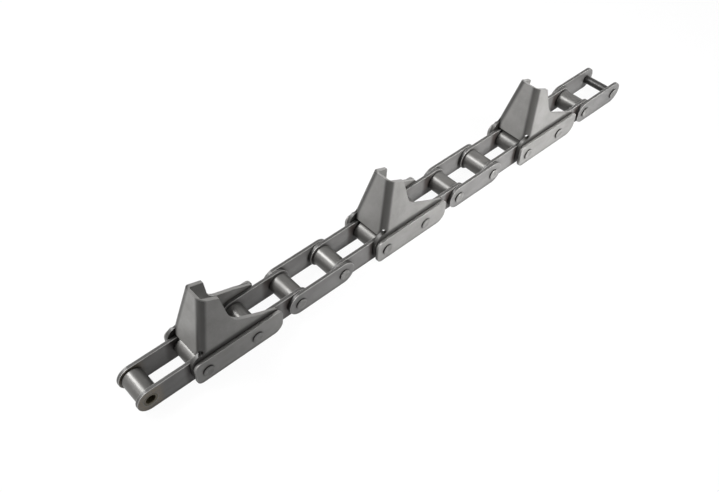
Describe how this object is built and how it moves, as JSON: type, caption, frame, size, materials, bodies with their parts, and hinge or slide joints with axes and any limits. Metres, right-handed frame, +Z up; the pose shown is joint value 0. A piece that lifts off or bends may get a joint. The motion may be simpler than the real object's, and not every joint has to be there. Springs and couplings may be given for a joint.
{
  "type": "baler chain",
  "caption": "Straight length of steel roller chain with riveted pins and tall pressed U brackets standing on every other outer link, for carrying and feeding crop in a baler.",
  "frame": {"origin": "middle of the chain's length and width, on the surface that the plates' lower edges stand on", "axes": "+X along the chain from the free bush end to the free outer link, +Y across to the far side along the pins, +Z up, the way the brackets stand"},
  "size_m": [0.517, 0.0404, 0.0671],
  "materials": {
    "plate_steel": "dark oiled satin, rolled surface",
    "bracket_steel": "dark grey satin with burnished folds and edges",
    "side_plate_steel": "dark grey satin with small pits",
    "roller_steel": "smooth, oiled, half gloss",
    "bush_steel": "smooth, oiled",
    "pin_steel": "riveted heads, hammered satin"
  },
  "bodies": {
    "link_01": {"link01_near_plate": "plate_steel", "link01_far_plate": "plate_steel", "link01_bushes": "bush_steel"},
    "link_02": {"link02_bracket": "bracket_steel", "link02_near_side_plate": "side_plate_steel", "link02_far_side_plate": "side_plate_steel", "link02_long_pins": "pin_steel"},
    "link_03": {"link03_near_plate": "plate_steel", "link03_far_plate": "plate_steel", "link03_bushes": "bush_steel"},
    "link_04": {"link04_near_plate": "plate_steel", "link04_far_plate": "plate_steel", "link04_pins": "pin_steel"},
    "link_05": {"link05_near_plate": "plate_steel", "link05_far_plate": "plate_steel", "link05_bushes": "bush_steel"},
    "link_06": {"link06_bracket": "bracket_steel", "link06_near_side_plate": "side_plate_steel", "link06_far_side_plate": "side_plate_steel", "link06_long_pins": "pin_steel"},
    "link_07": {"link07_near_plate": "plate_steel", "link07_far_plate": "plate_steel", "link07_bushes": "bush_steel"},
    "link_08": {"link08_near_plate": "plate_steel", "link08_far_plate": "plate_steel", "link08_pins": "pin_steel"},
    "link_09": {"link09_near_plate": "plate_steel", "link09_far_plate": "plate_steel", "link09_bushes": "bush_steel"},
    "link_10": {"link10_bracket": "bracket_steel", "link10_near_side_plate": "side_plate_steel", "link10_far_side_plate": "side_plate_steel", "link10_long_pins": "pin_steel"},
    "link_11": {"link11_near_plate": "plate_steel", "link11_far_plate": "plate_steel", "link11_bushes": "bush_steel"},
    "link_12": {"link12_near_plate": "plate_steel", "link12_far_plate": "plate_steel", "link12_pins": "pin_steel"},
    "roller_00": {"link01_front_roller": "roller_steel"},
    "roller_01": {"link01_rear_roller": "roller_steel"},
    "roller_02": {"link03_front_roller": "roller_steel"},
    "roller_03": {"link03_rear_roller": "roller_steel"},
    "roller_04": {"link05_front_roller": "roller_steel"},
    "roller_05": {"link05_rear_roller": "roller_steel"},
    "roller_06": {"link07_front_roller": "roller_steel"},
    "roller_07": {"link07_rear_roller": "roller_steel"},
    "roller_08": {"link09_front_roller": "roller_steel"},
    "roller_09": {"link09_rear_roller": "roller_steel"},
    "roller_10": {"link11_front_roller": "roller_steel"},
    "roller_11": {"link11_rear_roller": "roller_steel"}
  },
  "joints": [
    {"name": "hinge_01", "type": "hinge", "parent": "link_02", "child": "link_01", "pos_m": [-0.207, 0, 0.0101], "axis": [0, -1, 0], "range_deg": [-14, 27]},
    {"name": "hinge_02", "type": "hinge", "parent": "link_03", "child": "link_02", "pos_m": [-0.1656, 0, 0.0101], "axis": [0, -1, 0], "range_deg": [-14, 27]},
    {"name": "hinge_03", "type": "hinge", "parent": "link_04", "child": "link_03", "pos_m": [-0.1242, 0, 0.0101], "axis": [0, -1, 0], "range_deg": [-14, 27]},
    {"name": "hinge_04", "type": "hinge", "parent": "link_05", "child": "link_04", "pos_m": [-0.0828, 0, 0.0101], "axis": [0, -1, 0], "range_deg": [-14, 27]},
    {"name": "hinge_05", "type": "hinge", "parent": "link_06", "child": "link_05", "pos_m": [-0.0414, 0, 0.0101], "axis": [0, -1, 0], "range_deg": [-14, 27]},
    {"name": "hinge_06", "type": "hinge", "parent": "link_06", "child": "link_07", "pos_m": [0, 0, 0.0101], "axis": [0, 1, 0], "range_deg": [-14, 27]},
    {"name": "hinge_07", "type": "hinge", "parent": "link_07", "child": "link_08", "pos_m": [0.0414, 0, 0.0101], "axis": [0, 1, 0], "range_deg": [-14, 27]},
    {"name": "hinge_08", "type": "hinge", "parent": "link_08", "child": "link_09", "pos_m": [0.0828, 0, 0.0101], "axis": [0, 1, 0], "range_deg": [-14, 27]},
    {"name": "hinge_09", "type": "hinge", "parent": "link_09", "child": "link_10", "pos_m": [0.1242, 0, 0.0101], "axis": [0, 1, 0], "range_deg": [-14, 27]},
    {"name": "hinge_10", "type": "hinge", "parent": "link_10", "child": "link_11", "pos_m": [0.1656, 0, 0.0101], "axis": [0, 1, 0], "range_deg": [-14, 27]},
    {"name": "hinge_11", "type": "hinge", "parent": "link_11", "child": "link_12", "pos_m": [0.207, 0, 0.0101], "axis": [0, 1, 0], "range_deg": [-14, 27]},
    {"name": "roller_turn_00", "type": "hinge", "parent": "link_01", "child": "roller_00", "pos_m": [-0.2484, 0, 0.0101], "axis": [0, 1, 0], "continuous": true},
    {"name": "roller_turn_01", "type": "hinge", "parent": "link_01", "child": "roller_01", "pos_m": [-0.207, 0, 0.0101], "axis": [0, 1, 0], "continuous": true},
    {"name": "roller_turn_02", "type": "hinge", "parent": "link_03", "child": "roller_02", "pos_m": [-0.1656, 0, 0.0101], "axis": [0, 1, 0], "continuous": true},
    {"name": "roller_turn_03", "type": "hinge", "parent": "link_03", "child": "roller_03", "pos_m": [-0.1242, 0, 0.0101], "axis": [0, 1, 0], "continuous": true},
    {"name": "roller_turn_04", "type": "hinge", "parent": "link_05", "child": "roller_04", "pos_m": [-0.0828, 0, 0.0101], "axis": [0, 1, 0], "continuous": true},
    {"name": "roller_turn_05", "type": "hinge", "parent": "link_05", "child": "roller_05", "pos_m": [-0.0414, 0, 0.0101], "axis": [0, 1, 0], "continuous": true},
    {"name": "roller_turn_06", "type": "hinge", "parent": "link_07", "child": "roller_06", "pos_m": [0, 0, 0.0101], "axis": [0, 1, 0], "continuous": true},
    {"name": "roller_turn_07", "type": "hinge", "parent": "link_07", "child": "roller_07", "pos_m": [0.0414, 0, 0.0101], "axis": [0, 1, 0], "continuous": true},
    {"name": "roller_turn_08", "type": "hinge", "parent": "link_09", "child": "roller_08", "pos_m": [0.0828, 0, 0.0101], "axis": [0, 1, 0], "continuous": true},
    {"name": "roller_turn_09", "type": "hinge", "parent": "link_09", "child": "roller_09", "pos_m": [0.1242, 0, 0.0101], "axis": [0, 1, 0], "continuous": true},
    {"name": "roller_turn_10", "type": "hinge", "parent": "link_11", "child": "roller_10", "pos_m": [0.1656, 0, 0.0101], "axis": [0, 1, 0], "continuous": true},
    {"name": "roller_turn_11", "type": "hinge", "parent": "link_11", "child": "roller_11", "pos_m": [0.207, 0, 0.0101], "axis": [0, 1, 0], "continuous": true}
  ]
}
